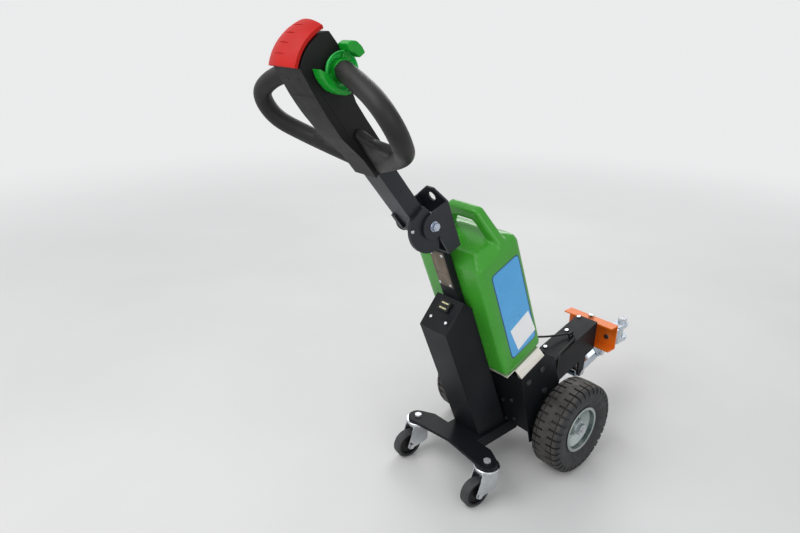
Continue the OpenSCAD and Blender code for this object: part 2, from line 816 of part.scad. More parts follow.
module charge_gauge() {
    color("#0f1011") at_cover_top() translate([gauge_share * cover_top_l, 0, 0]) difference() {
        wide_box(-gauge_l / 2, gauge_l / 2, gauge_w / 2, 0, gauge_h);
        for (side = [-1, 1]) translate([side * light_step, 0, 0])
            wide_box(-light_half, light_half, light_reach, gauge_h - over, gauge_h + over);
    }
}
module dome_screw(r, h, length) {
    cylinder(r = r, h = h, $fn = 32);
    translate([0, 0, -length]) cylinder(r = r / 2, h = length + h / 2, $fn = 32);
}
module small_screws() {
    color("#c4c7cb") {
        at_cover_top() for (y = [-1, 1])
            translate([rivet_share * cover_top_l, y * rivet_side_share * cover_w / 2, 0])
                dome_screw(rivet_r, rivet_h, cover_t);
        leaning() for (y = [-1, 1], u = [plate_up + 2 * rivet_r, plate_up + plate_l - 2 * rivet_r])
            translate([mast_rear_v - type_t, y * (plate_w / 2 - rivet_in), u]) rotate([0, -90, 0])
                dome_screw(rivet_r, rivet_h, type_t);
    }
}

// Mast
module mast() {
    color("#1c1d1f") difference() {
        leaning() wide_box(mast_rear_v, mast_v, mast_w / 2, 0, mast_top);
        leaning() wide_box(mast_rear_v + sheet_t, mast_v - sheet_t, mast_w / 2 - sheet_t, 0,
            mast_top - sheet_t);
        translate([-far / 2, -far / 2, deck_z - far]) cube(far);
    }
}
module type_plate() {
    color("#8d7b5f") leaning() difference() {
        wide_box(mast_rear_v - type_t, mast_rear_v, plate_w / 2, plate_up, plate_up + plate_l);
        for (y = [-1, 1], u = [plate_up + 2 * rivet_r, plate_up + plate_l - 2 * rivet_r])
            translate([mast_rear_v - 2 * type_t, y * (plate_w / 2 - rivet_in), u]) rotate([0, 90, 0])
                cylinder(r = rivet_r / 2, h = 3 * type_t, $fn = 32);
    }
}
module mast_bracket() {
    ear_low = mast_top + base_t;
    color("#1c1d1f") leaning() difference() {
        union() {
            wide_box(mast_rear_v, web_v, ear_half, mast_top, ear_low);
            for (y = [-1, 1]) translate([0, y * (ear_half - ear_t / 2), 0]) {
                side_prism([[mast_rear_v, mast_top], [web_v, mast_top], [web_v, ear_top],
                    [pivot_v + ear_nose_in, ear_top], [pivot_v, pivot_up]], ear_t / 2);
                translate([pivot_v, 0, pivot_up]) cross_rod(nose_r, -ear_t / 2, ear_t / 2);
            }
            rotate([90, 0, 90]) translate([0, 0, web_v - web_t]) linear_extrude(web_t)
                polygon([[-ear_half, mast_top], [ear_half, mast_top], [ear_half, ear_top],
                    [eye_rim_r / 2, eye_up + eye_rim_r], [-eye_rim_r / 2, eye_up + eye_rim_r],
                    [-ear_half, ear_top]]);
        }
        translate([pivot_v, 0, pivot_up]) cross_rod(pivot_r, -ear_half - over, ear_half + over);
        translate([web_v - 2 * web_t, 0, eye_up]) rotate([0, 90, 0])
            cylinder(r = eye_r, h = 3 * web_t, $fn = 64);
    }
}
module pivot_bolt() {
    color("#c4c7cb") translate([pivot_x, 0, pivot_z]) {
        cross_rod(pivot_r, -ear_half - over, ear_half + washer_t + pivot_head_h + over);
        for (y = [-ear_half - washer_t, ear_half]) cross_rod(washer_r, y, y + washer_t);
        for (y = [-ear_half - washer_t - pivot_head_h, ear_half + washer_t])
            cross_rod(pivot_head_r, y, y + pivot_head_h, 6);
    }
}

// Battery and its tray
module battery_tray() {
    top = battery_w / 2 + sheet_t;
    foot = chassis_w / 2;
    outer = [[-foot, tray_seat], [-foot, tray_seat + sheet_t], [-top, battery_up], [top, battery_up],
        [foot, tray_seat + sheet_t], [foot, tray_seat]];
    inner = [[foot - 3 * sheet_t, tray_seat], [top - sheet_t, battery_up - sheet_t],
        [sheet_t - top, battery_up - sheet_t], [3 * sheet_t - foot, tray_seat]];
    color("#c9c6bd") leaning() {
        rotate([90, 0, 90]) translate([0, 0, tray_rear_v]) linear_extrude(tray_front_v - tray_rear_v)
            polygon(concat(outer, inner));
        wide_box(mast_v, tray_rear_v + over, battery_w / 2, battery_up - sheet_t, battery_up);
    }
}
module battery_contacts() {
    color("#26282a") leaning() translate([0, 0, battery_up - sheet_t - contact_h])
        wide_box(-contact_l / 2, contact_l / 2, contact_w / 2, 0, contact_h);
}
module battery() {
    half = battery_w / 2;
    v0 = mast_v + lift_gap;
    v1 = v0 + battery_depth;
    top = battery_up + battery_h;
    color("#3f9b3a") leaning() {
        hull() for (y = [-half + corner_r, half - corner_r]) {
            for (v = [v0 + corner_r, v1 - corner_r]) {
                translate([v, y, battery_up + foot_inset]) cylinder(r = corner_r,
                    h = battery_h - case_shoulder - foot_inset, $fn = 32);
                translate([v, y, battery_up]) cylinder(r = corner_r - foot_inset, h = foot_inset, $fn = 32);
            }
            translate([v1 - corner_r - foot_inset, y - sign(y) * foot_inset, top - front_chamfer])
                cylinder(r = corner_r, h = foot_inset, $fn = 32);
            translate([v0 + corner_r + case_shoulder, y - sign(y) * case_shoulder, top - over])
                cylinder(r = corner_r, h = over, $fn = 32);
            translate([handle_v + handle_depth / 2, y - sign(y) * case_shoulder, top - over])
                cylinder(r = handle_r, h = over, $fn = 32);
        }
        for (y = [-1, 1]) handle_bar_between([y * leg_half, -case_shoulder / 2], [y * handle_half,
            handle_h - handle_bar / 2]);
        handle_bar_between([-handle_half, handle_h - handle_bar / 2],
            [handle_half, handle_h - handle_bar / 2]);
    }
}
module handle_bar_between(a, b) {
    top = battery_up + battery_h;
    hull() for (p = [a, b]) translate([handle_v, p[0], top + p[1]]) rotate([0, 90, 0]) {
        cylinder(r = handle_bar / 2 - handle_soft, h = handle_depth, center = true, $fn = 24);
        cylinder(r = handle_bar / 2, h = handle_depth - 2 * handle_soft, center = true, $fn = 24);
    }
}

// Hitch
module tow_arm() {
    half = arm_w / 2;
    color("#1c1d1f") difference() {
        union() {
            at_arm() wide_box(-arm_l, over, half, -arm_h, 0);
            for (y = [-1, 1]) translate([0, y * (drawbar_w / 2 + cheek_gap + lug_t / 2), 0])
                side_prism([[lug_x - 3 * cross_r, lug_z + arm_h], [lug_x + 3 * cross_r, lug_z + arm_h],
                    [lug_x + lug_edge, lug_z - cross_r], [lug_x + cross_r, lug_z - lug_edge],
                    [lug_x - cross_r, lug_z - lug_edge], [lug_x - lug_edge, lug_z - cross_r]], lug_t / 2);
        }
        at_arm() wide_box(-far, -2 * end_t, half - arm_t, -arm_h + arm_t, -arm_t);
        translate([arm_x, -far / 2, 0]) cube(far);
        side_prism(concat([[side_x([0, 0]), 0]],
            [for (i = [panel_last:-1:panel_first]) [side_x(side_shares[i]), side_z(side_shares[i])]],
            [[side_x([0, 0]), far]]), chassis_w);
        translate([lug_x, 0, lug_z]) cross_rod(cross_r, -arm_w, arm_w, 32);
        at_arm() for (share = arm_bolt_shares)
            translate([-share[0] * arm_l, share[1] * arm_w / 2, -2 * arm_t])
                cylinder(r = small_r, h = 3 * arm_t, $fn = 32);
    }
}
module push_channel() {
    color("#e8641b") difference() {
        wide_box(arm_x, arm_x + channel_depth, channel_w / 2, channel_low, channel_low + channel_h);
        wide_box(arm_x - over, arm_x + channel_depth - channel_t, channel_w / 2 + over,
            channel_low + channel_t, channel_low + channel_h - channel_t);
        for (y = [-1, 1]) translate([arm_x, y * web_bolt_y, channel_low + web_bolt_share * channel_h])
            rotate([0, 90, 0]) cylinder(r = bolt_r, h = 2 * channel_depth, $fn = 32);
        translate([arm_x + channel_depth / 2, 0, channel_low + channel_h / 2])
            cylinder(r = bolt_r, h = channel_h, $fn = 32);
    }
}
module hitch_bolts() {
    color("#b9bcc0") {
        at_arm() for (share = arm_bolt_shares) translate([-share[0] * arm_l, share[1] * arm_w / 2, 0])
            dome_screw(2 * small_r, small_head_h, arm_t);
        for (y = [-1, 1]) translate([arm_x + channel_depth - channel_t, y * web_bolt_y,
            channel_low + web_bolt_share * channel_h]) rotate([0, -90, 0])
                hex_bolt(bolt_r, bolt_head_r, bolt_head_h, channel_t);
        translate([arm_x + channel_depth / 2, 0, channel_low + channel_h])
            hex_bolt(bolt_r, bolt_head_r, 2 * bolt_head_h, channel_t);
    }
}
module drawbar_hanger() {
    color("#a9adb2") difference() {
        for (y = [-1, 1]) translate([0, y * (drawbar_w / 2 + cheek_gap + lug_t / 2), 0])
            side_prism([[arm_x + over, channel_low], [arm_x + channel_depth, channel_low],
                [hanger_x + lug_edge, hanger_z], [hanger_x + cross_r, hanger_z - lug_edge],
                [hanger_x - 2 * cross_r, hanger_z - 2 * cross_r]], lug_t / 2);
        translate([hanger_x, 0, hanger_z]) cross_rod(cross_r, -arm_w, arm_w, 32);
    }
}
module at_drawbar() {
    translate([lug_x, 0, lug_z]) rotate([0, -drawbar_slope, 0]) children();
}
module drawbar() {
    back = 3 * cross_r;
    reach = (jaw_x - lug_x) / cos(drawbar_slope);
    color("#b9bfc6") difference() {
        at_drawbar() wide_box(-back, reach + drawbar_h, drawbar_w / 2, -drawbar_h / 2, drawbar_h / 2);
        at_drawbar() wide_box(-back - over, reach - drawbar_h, drawbar_w / 2 - drawbar_t,
            -drawbar_h / 2 + drawbar_t, drawbar_h / 2 - drawbar_t);
        translate([jaw_x, -far / 2, 0]) cube(far);
        for (place = cross_places) translate([place[0], 0, place[1]])
            cross_rod(cross_r, -arm_w, arm_w, 32);
    }
}
module drawbar_bolts() {
    outer = drawbar_w / 2 + cheek_gap + lug_t;
    color("#c9ccd0") for (place = cross_places) translate([place[0], 0, place[1]]) {
        cross_rod(cross_r, -outer - over, outer + over, 32);
        for (y = [-outer - cross_head_h, outer]) cross_rod(cross_head_r, y, y + cross_head_h, 6);
    }
}
module tow_jaw() {
    low = jaw_top - 2 * jaw_t - jaw_gap;
    color("#b9bfc6") difference() {
        union() {
            wide_box(jaw_x, jaw_x + jaw_l / 2, drawbar_w / 2, low, jaw_top);
            for (z = [low, jaw_top - jaw_t]) {
                wide_box(jaw_x, jaw_x + jaw_l, drawbar_w / 2, z, z + jaw_t);
                translate([jaw_x + jaw_l, 0, z]) cylinder(r = drawbar_w / 2, h = jaw_t, $fn = 64);
            }
        }
        wide_box(jaw_x + pin_back, jaw_x + 2 * jaw_l, drawbar_w, low + jaw_t, jaw_top - jaw_t);
        translate([jaw_x + jaw_l, 0, low - over]) cylinder(r = pin_r + run_fit, h = 3 * cut_l, $fn = 64);
    }
}
module tow_pin() {
    color("#c9ccd0") translate([jaw_x + jaw_l, 0, 0]) {
        translate([0, 0, jaw_top - 2 * jaw_t - jaw_gap - pin_drop]) cylinder(r = pin_r,
            h = 2 * jaw_t + jaw_gap + pin_drop + over, $fn = 64);
        translate([0, 0, jaw_top]) cylinder(r = pin_head_r, h = pin_head_h, $fn = 6);
    }
}
module cable() {
    color("#141414") swept_tube(spline(cable_route, cable_steps), cable_r, cable_sides, [0, 0, 1]);
}
module cable_fittings() {
    first = cable_route[0];
    last = cable_route[len(cable_route) - 1];
    out = cable_route[1] - first;
    color("#2a2a2a") {
        at_arm() translate([clip_back, clip_y, 0]) difference() {
            wide_box(-clip_r - clip_t, clip_r + clip_t, clip_w, 0, clip_h);
            wide_box(-clip_r, clip_r, clip_w + over, clip_t, clip_h - clip_t);
        }
        translate(first) rotate([0, atan2(out[0], out[2]), 0]) ring(gland_r, cable_r + gland_gap, gland_l);
        translate([last[0] - socket_w / 2, -arm_w / 2 - socket_t, last[2] - over - socket_h])
            cube([socket_w, socket_t, socket_h]);
    }
}

// Tiller
module tiller_clevis() {
    back = tube_top - tube_depth;
    block = [[tube_top, collar_s], [back, collar_s], [-barrel_in, 0], [barrel_in, 0]];
    cheek = concat([[clevis_top, collar_s - clevis_top], [tube_top, collar_s + 2 * over],
        [back, collar_s + 2 * over]], arc(0, 0, drum_r, cheek_start_angle, cheek_end_angle, cheek_steps),
        [[clevis_top, -clevis_top]]);
    color("#1f2022") at_tiller() difference() {
        union() {
            side_prism(block, tube_w / 2);
            cross_rod(barrel_r, -clevis_half, clevis_half);
            translate([0, -(clevis_half + tube_w / 2) / 2, 0])
                side_prism(cheek, (clevis_half - tube_w / 2) / 2);
            translate([back - stop_rib_t, stop_rib_y, collar_s - stop_rib_l])
                cube([stop_rib_t + over, stop_rib_w, stop_rib_l]);
        }
        cross_rod(bush_r, -clevis_half - over, clevis_half + over);
        translate([-stop_screw_back, 0, stop_screw_up])
            cross_rod(stop_screw_r / 2, -clevis_half - over, 0, 32);
    }
}
module stop_screw() {
    color("#c4c7cb") at_tiller() translate([-stop_screw_back, -clevis_half, stop_screw_up])
        rotate([90, 0, 0]) dome_screw(stop_screw_r, stop_screw_h, clevis_half - tube_w / 2);
}
module pivot_bushes() {
    color("#a98d4f") at_tiller() for (y = [-1, 1]) rotate([-y * 90, 0, 0]) {
        translate([0, 0, clevis_half - bush_l]) ring(bush_r, pivot_r + run_fit, bush_l);
        translate([0, 0, clevis_half]) ring(bush_flange_r, pivot_r + run_fit, bush_flange_t);
    }
}
module tiller_tube() {
    color("#222428") at_tiller() difference() {
        wide_box(tube_top - tube_depth, tube_top, tube_w / 2, collar_s, head_s + tube_in);
        wide_box(tube_top - tube_depth + tube_t, tube_top - tube_t, tube_w / 2 - tube_t, collar_s - over,
            head_s + tube_in + over);
    }
}
function head_point(share, below) = [(below ? -1 : 1) * share[0] * head_depth, head_s + share[1] * head_l];
function nose_arc(r) =
    arc(nose_x, nose_s, r, pad_start_angle, pad_start_angle + pad_sweep_angle, nose_steps);
module head_envelope() {
    outline = concat([for (s = under_shares) head_point(s, true)], flip(nose_arc(nose_body)),
        [for (s = top_shares) head_point(s, false)]);
    intersection() {
        side_prism(outline, head_w / 2);
        rotate([90, 0, 90]) translate([0, 0, -far / 2]) linear_extrude(far)
            polygon(concat([for (s = plan_shares) [-s[0] * head_w / 2, head_s + s[1] * head_l]],
                [for (s = flip(plan_shares)) [s[0] * head_w / 2, head_s + s[1] * head_l]]));
    }
}
module button_pocket(gap) {
    translate([nose_x, 0, nose_s]) rotate([0, pad_tilt, 0])
        wide_box(-plug_half - gap, plug_half + gap, plug_half_w + gap, gap > 0 ? pocket_low : plug_low,
            gap > 0 ? far : pad_in + over);
}
module head_body() {
    color("#2b2c2f") at_tiller() difference() {
        head_envelope();
        translate([-far + split_x, -far / 2, 0]) cube(far);
        wide_box(tube_top - tube_depth, tube_top, tube_w / 2, 0, head_s + tube_in);
        translate([-throttle_n, 0, throttle_s]) cross_rod(throttle_r + run_fit, -head_w, head_w);
        button_pocket(pocket_gap);
    }
}
module head_cover() {
    color("#232426") at_tiller() difference() {
        intersection() {
            head_envelope();
            translate([-far + split_x, -far / 2, 0]) cube(far);
        }
        wide_box(tube_top - tube_depth, tube_top, tube_w / 2, 0, head_s + tube_in);
        button_pocket(pocket_gap);
        for (side = [-1, 1]) translate([-far / 2, side * screw_y, screw_s]) rotate([0, 90, 0])
            cylinder(r = screw_hole_r, h = far, $fn = 32);
    }
}
module head_screws() {
    color("#6d7074") at_tiller() for (side = [-1, 1])
        translate([split_x - screw_l, side * screw_y, screw_s]) rotate([0, 90, 0])
            cylinder(r = screw_hole_r, h = screw_l, $fn = 32);
}
function grip_point(share) = [-throttle_n - share[2] * grip_bow, share[0] * grip_reach,
    throttle_s - grip_l + share[1] * grip_l];
module grips() {
    route = spline([for (s = grip_shares) grip_point(s)], grip_steps);
    color("#333436") at_tiller() both_sides() difference() {
        union() {
            swept_tube(route, grip_d / 2, grip_sides, [1, 0, 0]);
            rotate([90, 0, 90]) translate([0, 0, -web_low]) linear_extrude(web_thick)
                polygon([for (p = web_shares) [p[0] * grip_reach, throttle_s - grip_l + p[1] * grip_l]]);
        }
        head_envelope();
        wide_box(tube_top - tube_depth, tube_top, tube_w / 2, 0, head_s + tube_in);
        translate([-far / 2, hub_end + side_gap - far, throttle_s - grip_d]) cube(far);
        translate([-throttle_n, 0, throttle_s]) cross_rod(throttle_r + run_fit, 0, hub_end + socket_l);
    }
}
module throttle_shaft() {
    reach = hub_end + socket_l - 2 * over;
    color("#9fa3a8") at_tiller() translate([-throttle_n, 0, throttle_s])
        cross_rod(throttle_r, -reach, reach);
}
function wing_point(share) = hub_out_r * share[0] * [-sin(share[1]), cos(share[1])];
module throttle_wings() {
    color("#1f9a35") at_tiller() translate([-throttle_n, 0, throttle_s]) both_sides() difference() {
        union() {
            cross_rod(hub_out_r, hub_start, hub_end);
            for (shares = [lower_wing_shares, upper_wing_shares]) {
                outline = [for (share = shares) wing_point(share)];
                joined = [for (i = [1:floor_last]) floor_share * outline[i]];
                translate([0, (wing_start + wing_out) / 2, 0])
                    side_prism(outline, (wing_out - wing_start) / 2);
                translate([0, floor_start + floor_t / 2, 0])
                    side_prism(concat([[0, 0]], joined), floor_t / 2);
            }
        }
        cross_rod(throttle_r, 0, hub_end + over);
        rotate([-90, 0, 0]) translate([0, 0, hub_end - bowl_deep])
            cylinder(r1 = throttle_r + over, r2 = hub_out_r - 2 * over, h = bowl_deep + over, $fn = 64);
    }
}
module belly_button() {
    half = head_w / 2;
    crown = [for (i = [-crown_steps:crown_steps]) let (share = i / crown_steps)
        [pad_crown - (pad_crown - pad_edge) * share * share, share * half]];
    profile = concat([[pad_in, -half]], crown, [[pad_in, half]]);
    color("#d93a34") at_tiller() {
        difference() {
            translate([nose_x, 0, nose_s]) rotate([90, 0, 0]) rotate([0, 0, pad_start_angle])
                rotate_extrude(angle = pad_sweep_angle, $fn = 96) polygon(profile);
            for (i = [1:groove_count]) translate([nose_x, 0, nose_s])
                rotate([0, -pad_start_angle - pad_sweep_angle * i / (groove_count + 1), 0])
                    translate([pad_crown - groove_deep, -half / 2, -groove_w / 2])
                        cube([2 * groove_deep, half, groove_w]);
        }
        button_pocket(0);
    }
}
module button_spring() {
    last = spring_turns * spring_steps;
    rise = plug_low - pocket_low - 2 * spring_wire;
    turns = [for (i = [0:last]) let (angle = 360 * i / spring_steps)
        [spring_r * cos(angle), spring_r * sin(angle), pocket_low + spring_wire + rise * i / last]];
    color("#b9bcc0") at_tiller() translate([nose_x, 0, nose_s]) rotate([0, pad_tilt, 0])
        swept_tube(turns, spring_wire / 2, wire_sides, [1, 0, 0]);
}

placed() tyre(1);  // tyre_left
placed() tyre(-1);  // tyre_right
placed() rim(1);  // rim_left
placed() rim(-1);  // rim_right
placed() wheel_fasteners(1);  // wheel_fasteners_left
placed() wheel_fasteners(-1);  // wheel_fasteners_right
placed() axle_shaft(1);  // axle_shaft_left
placed() axle_shaft(-1);  // axle_shaft_right
placed() swivel_bolts();
placed() swivel_races();
placed() caster_fork(1);  // caster_fork_left
placed() caster_fork(-1);  // caster_fork_right
placed() caster_axle(1);  // caster_axle_left
placed() caster_axle(-1);  // caster_axle_right
placed() caster_core(1);  // caster_core_left
placed() caster_core(-1);  // caster_core_right
placed() caster_tread(1);  // caster_tread_left
placed() caster_tread(-1);  // caster_tread_right
placed() side_plate(1);  // side_plate_left
placed() side_plate(-1);  // side_plate_right
placed() rear_panel();
placed() front_panel();
placed() deck_plate();
placed() keel();
placed() chassis_bolts();
placed() transaxle();
placed() drive_motor();
placed() controller();
placed() cover();
placed() small_screws();
placed() charge_gauge();
placed() mast();
placed() type_plate();
placed() mast_bracket();
placed() pivot_bolt();
placed() battery_tray();
placed() battery_contacts();
placed() battery();
placed() tow_arm();
placed() hitch_bolts();
placed() push_channel();
placed() drawbar_hanger();
placed() drawbar();
placed() drawbar_bolts();
placed() tow_jaw();
placed() tow_pin();
placed() cable();
placed() cable_fittings();
placed() tiller_clevis();
placed() pivot_bushes();
placed() tiller_tube();
placed() head_body();
placed() head_cover();
placed() grips();
placed() throttle_shaft();
placed() throttle_wings();
placed() belly_button();
placed() button_spring();
placed() head_screws();
placed() stop_screw();
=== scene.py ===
"""Walk-behind electric tug: finishes, small pieces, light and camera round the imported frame, in metres."""
import json
import math

import bmesh
import bpy
from mathutils import Matrix, Vector


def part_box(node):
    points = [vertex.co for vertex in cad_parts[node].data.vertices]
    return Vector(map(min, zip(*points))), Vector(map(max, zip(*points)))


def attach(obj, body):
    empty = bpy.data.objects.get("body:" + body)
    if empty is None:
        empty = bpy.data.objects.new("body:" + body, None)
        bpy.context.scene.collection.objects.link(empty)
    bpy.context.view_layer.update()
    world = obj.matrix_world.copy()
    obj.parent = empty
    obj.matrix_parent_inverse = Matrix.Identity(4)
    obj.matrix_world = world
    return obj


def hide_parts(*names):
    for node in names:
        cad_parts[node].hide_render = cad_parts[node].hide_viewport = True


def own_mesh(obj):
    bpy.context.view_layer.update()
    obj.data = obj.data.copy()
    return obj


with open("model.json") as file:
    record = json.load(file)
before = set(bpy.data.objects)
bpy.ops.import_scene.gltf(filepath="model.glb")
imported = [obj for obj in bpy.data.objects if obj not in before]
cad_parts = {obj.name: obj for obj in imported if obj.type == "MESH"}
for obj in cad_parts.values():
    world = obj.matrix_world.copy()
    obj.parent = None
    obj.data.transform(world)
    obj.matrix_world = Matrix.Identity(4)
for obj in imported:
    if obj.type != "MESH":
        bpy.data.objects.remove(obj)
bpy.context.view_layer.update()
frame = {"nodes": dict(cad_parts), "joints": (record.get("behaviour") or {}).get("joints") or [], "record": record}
NODES = frame["nodes"]
JOINTS = {joint["name"]: joint for joint in frame["joints"]}

# The camera, as the photograph was taken
FOCAL_PX = 615.7
PHOTO_W_PX = 800
SENSOR_MM = 36
CAMERA_AT = Vector((-1.21875, -0.9413, 1.1515))
CAMERA_YAW = math.radians(48.64)
CAMERA_PITCH = math.radians(21.36)
CAMERA_ROLL = math.radians(0.97)
CAMERA_REACH = 60

# The machine's own lines, as they are built in the solids
LEAN = math.radians(23)
AXLE_X, _, AXLE_Z = JOINTS["wheel_left_spin"]["pos_m"]
PIVOT = Vector(JOINTS["tiller_tilt"]["pos_m"])
TILLER_ANGLE = math.radians(51)
COVER_TOP = (-0.160, 0, 0.579)
COVER_RISE = 0.041
COVER_RUN = 0.080
COVER_SLOPE = math.atan2(COVER_RISE, COVER_RUN)


def leaning_frame():
    """Local X runs ahead of the lean line, local Y to the left and local Z up along it."""
    return Matrix.Translation((AXLE_X, 0, 0)) @ Matrix.Rotation(-LEAN, 4, "Y")


def tiller_frame():
    """From the pivot: local X away from the operator, local Y to the left and local Z up the tiller."""
    return Matrix.Translation(PIVOT) @ Matrix.Rotation(TILLER_ANGLE - math.pi / 2, 4, "Y")


def cover_top_frame():
    """From the cover's rear top edge: local X up the slope, local Z out of it."""
    return leaning_frame() @ Matrix.Translation(COVER_TOP) @ Matrix.Rotation(-COVER_SLOPE, 4, "Y")


def facing(origin, across, up):
    """Local X along across, local Y along up and local Z out of the face."""
    out = Vector(across).cross(Vector(up))
    return Matrix.Translation(origin) @ Matrix((across, up, out)).transposed().to_4x4()


# Shader nodes, and first the sockets of the node that mixes colours
MIX_FACTOR = 0
MIX_FIRST = 6
MIX_SECOND = 7
MIX_RESULT = 2


def noise(tree, scale, detail=4.0, stretch=(1, 1, 1)):
    """A noise on the piece's own coordinates, scale in cycles a metre."""
    place = tree.nodes.new("ShaderNodeTexCoord")
    mapping = tree.nodes.new("ShaderNodeMapping")
    mapping.inputs["Scale"].default_value = stretch
    texture = tree.nodes.new("ShaderNodeTexNoise")
    texture.inputs["Scale"].default_value = scale
    texture.inputs["Detail"].default_value = detail
    tree.links.new(place.outputs["Object"], mapping.inputs["Vector"])
    tree.links.new(mapping.outputs["Vector"], texture.inputs["Vector"])
    return texture.outputs["Fac"]


def ramp(tree, value, low, high, start=0.35, end=0.65):
    """Colours from low to high as the value goes from start to end."""
    node = tree.nodes.new("ShaderNodeValToRGB")
    node.color_ramp.elements[0].position = start
    node.color_ramp.elements[1].position = end
    node.color_ramp.elements[0].color = (*low, 1)
    node.color_ramp.elements[1].color = (*high, 1)
    tree.links.new(value, node.inputs["Fac"])
    return node.outputs["Color"]


def grey(level):
    return (level, level, level)


def arithmetic(tree, operation, first, second):
    """The result of one operation on two values, each a socket or a number."""
    node = tree.nodes.new("ShaderNodeMath")
    node.operation = operation
    for socket, value in zip(node.inputs, (first, second)):
        if isinstance(value, (int, float)):
            socket.default_value = value
        else:
            tree.links.new(value, socket)
    return node.outputs["Value"]


def vector_step(tree, operation, vector, values=None):
    """A vector node on one vector, with fixed values as its second vector."""
    node = tree.nodes.new("ShaderNodeVectorMath")
    node.operation = operation
    tree.links.new(vector, node.inputs[0])
    if values:
        node.inputs[1].default_value = values
    return node


def mix_colours(tree, factor, first, second):
    node = tree.nodes.new("ShaderNodeMix")
    node.data_type = "RGBA"
    tree.links.new(factor, node.inputs[MIX_FACTOR])
    tree.links.new(first, node.inputs[MIX_FIRST])
    tree.links.new(second, node.inputs[MIX_SECOND])
    return node.outputs[MIX_RESULT]


def bump(tree, shader, value, strength, depth):
    node = tree.nodes.new("ShaderNodeBump")
    node.inputs["Strength"].default_value = strength
    node.inputs["Distance"].default_value = depth
    tree.links.new(value, node.inputs["Height"])
    tree.links.new(node.outputs["Normal"], shader.inputs["Normal"])


# Materials
COAT_ROUGHNESS = 0.12
GLOSS_SPREAD = dict(start=0.25, end=0.75)


def new_material(name):
    material = bpy.data.materials.new(name)
    material.use_nodes = True
    tree = material.node_tree
    shader = tree.nodes["Principled BSDF"]
    return material, tree, shader


def finish_material(name, dark, light, rough, metal=0.0, coat=0.0, cloud=14, grain=700, relief=0.25,
                    depth=0.0002, stretch=(1, 1, 1), mirror=0.5):
    """A finish whose colour drifts between two tones, whose gloss drifts and whose surface has a grain."""
    material, tree, shader = new_material(name)
    shader.inputs["Metallic"].default_value = metal
    shader.inputs["Coat Weight"].default_value = coat
    shader.inputs["Coat Roughness"].default_value = COAT_ROUGHNESS
    shader.inputs["Specular IOR Level"].default_value = mirror
    colour = ramp(tree, noise(tree, cloud, stretch=stretch), dark, light)
    tree.links.new(colour, shader.inputs["Base Color"])
    patches = noise(tree, cloud * 3, detail=3, stretch=stretch)
    gloss = ramp(tree, patches, grey(rough[0]), grey(rough[1]), **GLOSS_SPREAD)
    tree.links.new(gloss, shader.inputs["Roughness"])
    if relief:
        bump(tree, shader, noise(tree, grain, detail=3, stretch=stretch), relief, depth)
    return material


